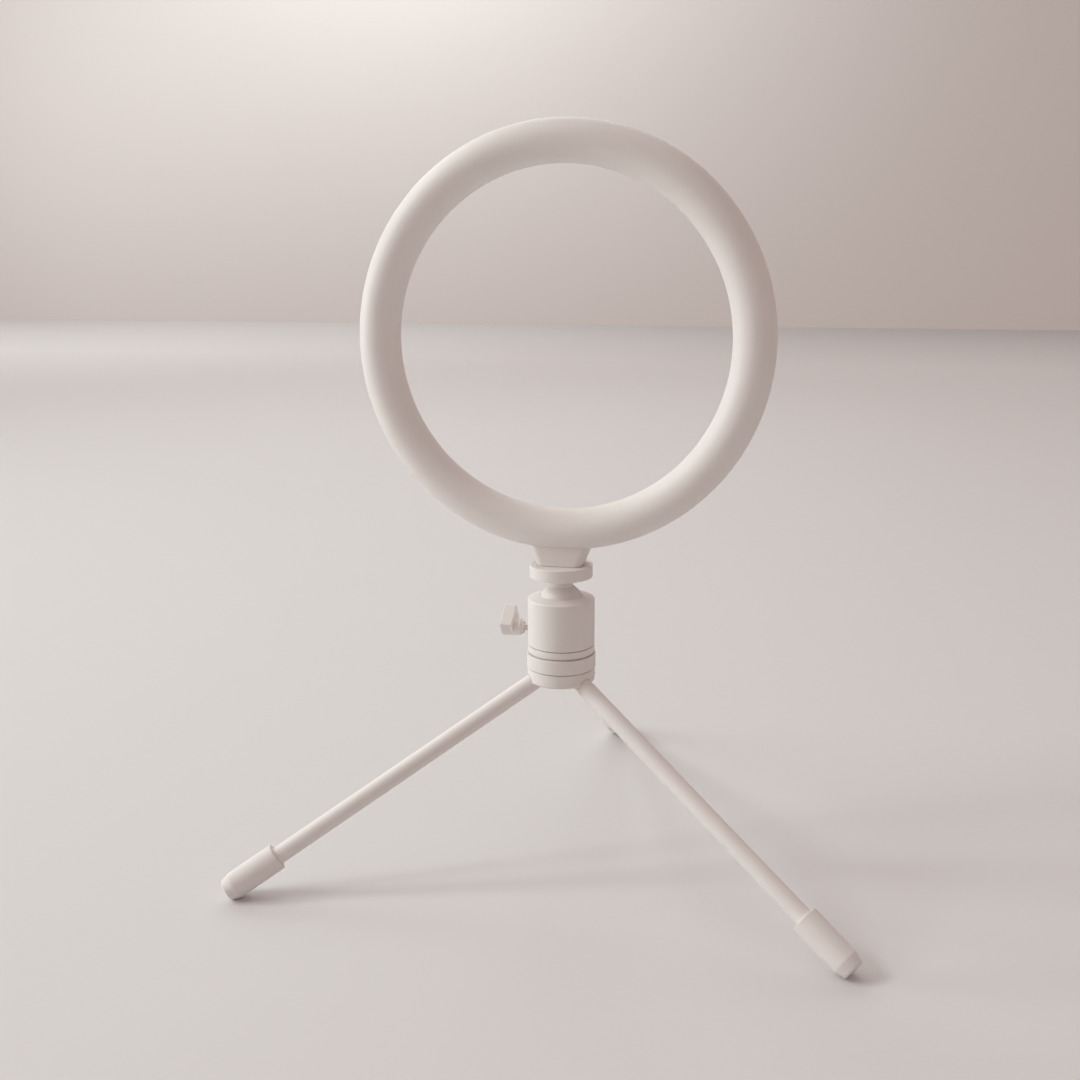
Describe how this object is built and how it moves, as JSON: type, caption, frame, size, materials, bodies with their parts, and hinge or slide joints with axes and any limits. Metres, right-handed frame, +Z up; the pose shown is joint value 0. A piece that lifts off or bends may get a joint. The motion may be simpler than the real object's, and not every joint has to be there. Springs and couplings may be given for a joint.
{
  "type": "ring light",
  "caption": "Small round-tube ring light on a ball head with a wing knob, standing on a folding three-leg desk stand.",
  "frame": {"origin": "on the floor, in the middle of the box round the whole object", "axes": "+Z up, lamp facing -Y, +X to the right seen from the front; the stand's vertical axis is at x = 0, y = -40.54 mm"},
  "size_m": [0.2972, 0.2588, 0.3605],
  "materials": {
    "diffuser": "milky opal light diffuser, satin",
    "housing": "fine moulded texture, matte",
    "circuit_board": "white solder mask",
    "light_chip": "phosphor under clear resin",
    "driver_chip": "black moulded package",
    "socket_shell": "plated stamped steel",
    "brass_insert": "knurled brass",
    "screw_steel": "zinc plated",
    "coated_metal": "fine matte powder coat",
    "coated_rod": "smooth matte powder coat",
    "ball_coat": "smooth satin coat",
    "nylon": "natural nylon",
    "knob_plastic": "moulded, matte",
    "pad_rubber": "soft matte rubber",
    "foot_rubber": "soft matte rubber"
  },
  "bodies": {
    "stand": {"tripod_hub": "coated_metal", "hub_screws": "screw_steel", "base_collar": "coated_metal", "pan_washer": "nylon", "hinge_pin_left": "screw_steel", "hinge_pin_right": "screw_steel", "hinge_pin_back": "screw_steel"},
    "head": {"ball_socket": "coated_metal", "socket_base": "coated_metal", "clamp_wedge": "nylon", "pan_screw": "screw_steel"},
    "clamp_knob": {"clamp_screw": "screw_steel", "knob_collar": "knob_plastic", "wing_knob": "knob_plastic"},
    "cup": {"pressure_cup": "nylon"},
    "ball_mount": {"ball": "ball_coat", "top_plate": "coated_metal", "plate_pad": "pad_rubber", "mounting_stud": "screw_steel"},
    "lamp": {"neck_block": "housing", "neck_screws": "screw_steel", "threaded_insert": "brass_insert", "diffuser_ring": "diffuser", "rear_housing": "housing", "led_board": "circuit_board", "led_chips": "light_chip", "board_screws": "screw_steel", "driver_chips": "driver_chip", "power_socket": "socket_shell"},
    "leg_left": {"leg_knuckle_left": "coated_metal", "leg_rod_left": "coated_rod", "foot_cap_left": "foot_rubber"},
    "leg_right": {"leg_knuckle_right": "coated_metal", "leg_rod_right": "coated_rod", "foot_cap_right": "foot_rubber"},
    "leg_back": {"leg_knuckle_back": "coated_metal", "leg_rod_back": "coated_rod", "foot_cap_back": "foot_rubber"}
  },
  "joints": [
    {"name": "head_pan", "type": "hinge", "parent": "stand", "child": "head", "pos_m": [0, -0.04092, 0.1083], "axis": [0, 0, 1], "continuous": true},
    {"name": "knob_turn", "type": "hinge", "parent": "head", "child": "clamp_knob", "pos_m": [-0.02, -0.04092, 0.1193], "axis": [-1, 0, 0], "range_deg": [0, 270]},
    {"name": "ball_swivel", "type": "hinge", "parent": "head", "child": "cup", "pos_m": [0, -0.04092, 0.132], "axis": [0, 0, 1], "continuous": true},
    {"name": "ball_tilt", "type": "hinge", "parent": "cup", "child": "ball_mount", "pos_m": [0, -0.04092, 0.132], "axis": [1, 0, 0], "range_deg": [-30, 30]},
    {"name": "lamp_turn", "type": "hinge", "parent": "ball_mount", "child": "lamp", "pos_m": [0, -0.04092, 0.153], "axis": [0, 0, 1], "continuous": true},
    {"name": "leg_fold_left", "type": "hinge", "parent": "stand", "child": "leg_left", "pos_m": [-0.00901, -0.04612, 0.0959], "axis": [0.5, -0.866, 0], "range_deg": [0, 59]},
    {"name": "leg_fold_right", "type": "hinge", "parent": "stand", "child": "leg_right", "pos_m": [0.00901, -0.04612, 0.0959], "axis": [0.5, 0.866, 0], "range_deg": [0, 59]},
    {"name": "leg_fold_back", "type": "hinge", "parent": "stand", "child": "leg_back", "pos_m": [0, -0.03052, 0.0959], "axis": [-1, 0, 0], "range_deg": [0, 59]}
  ]
}
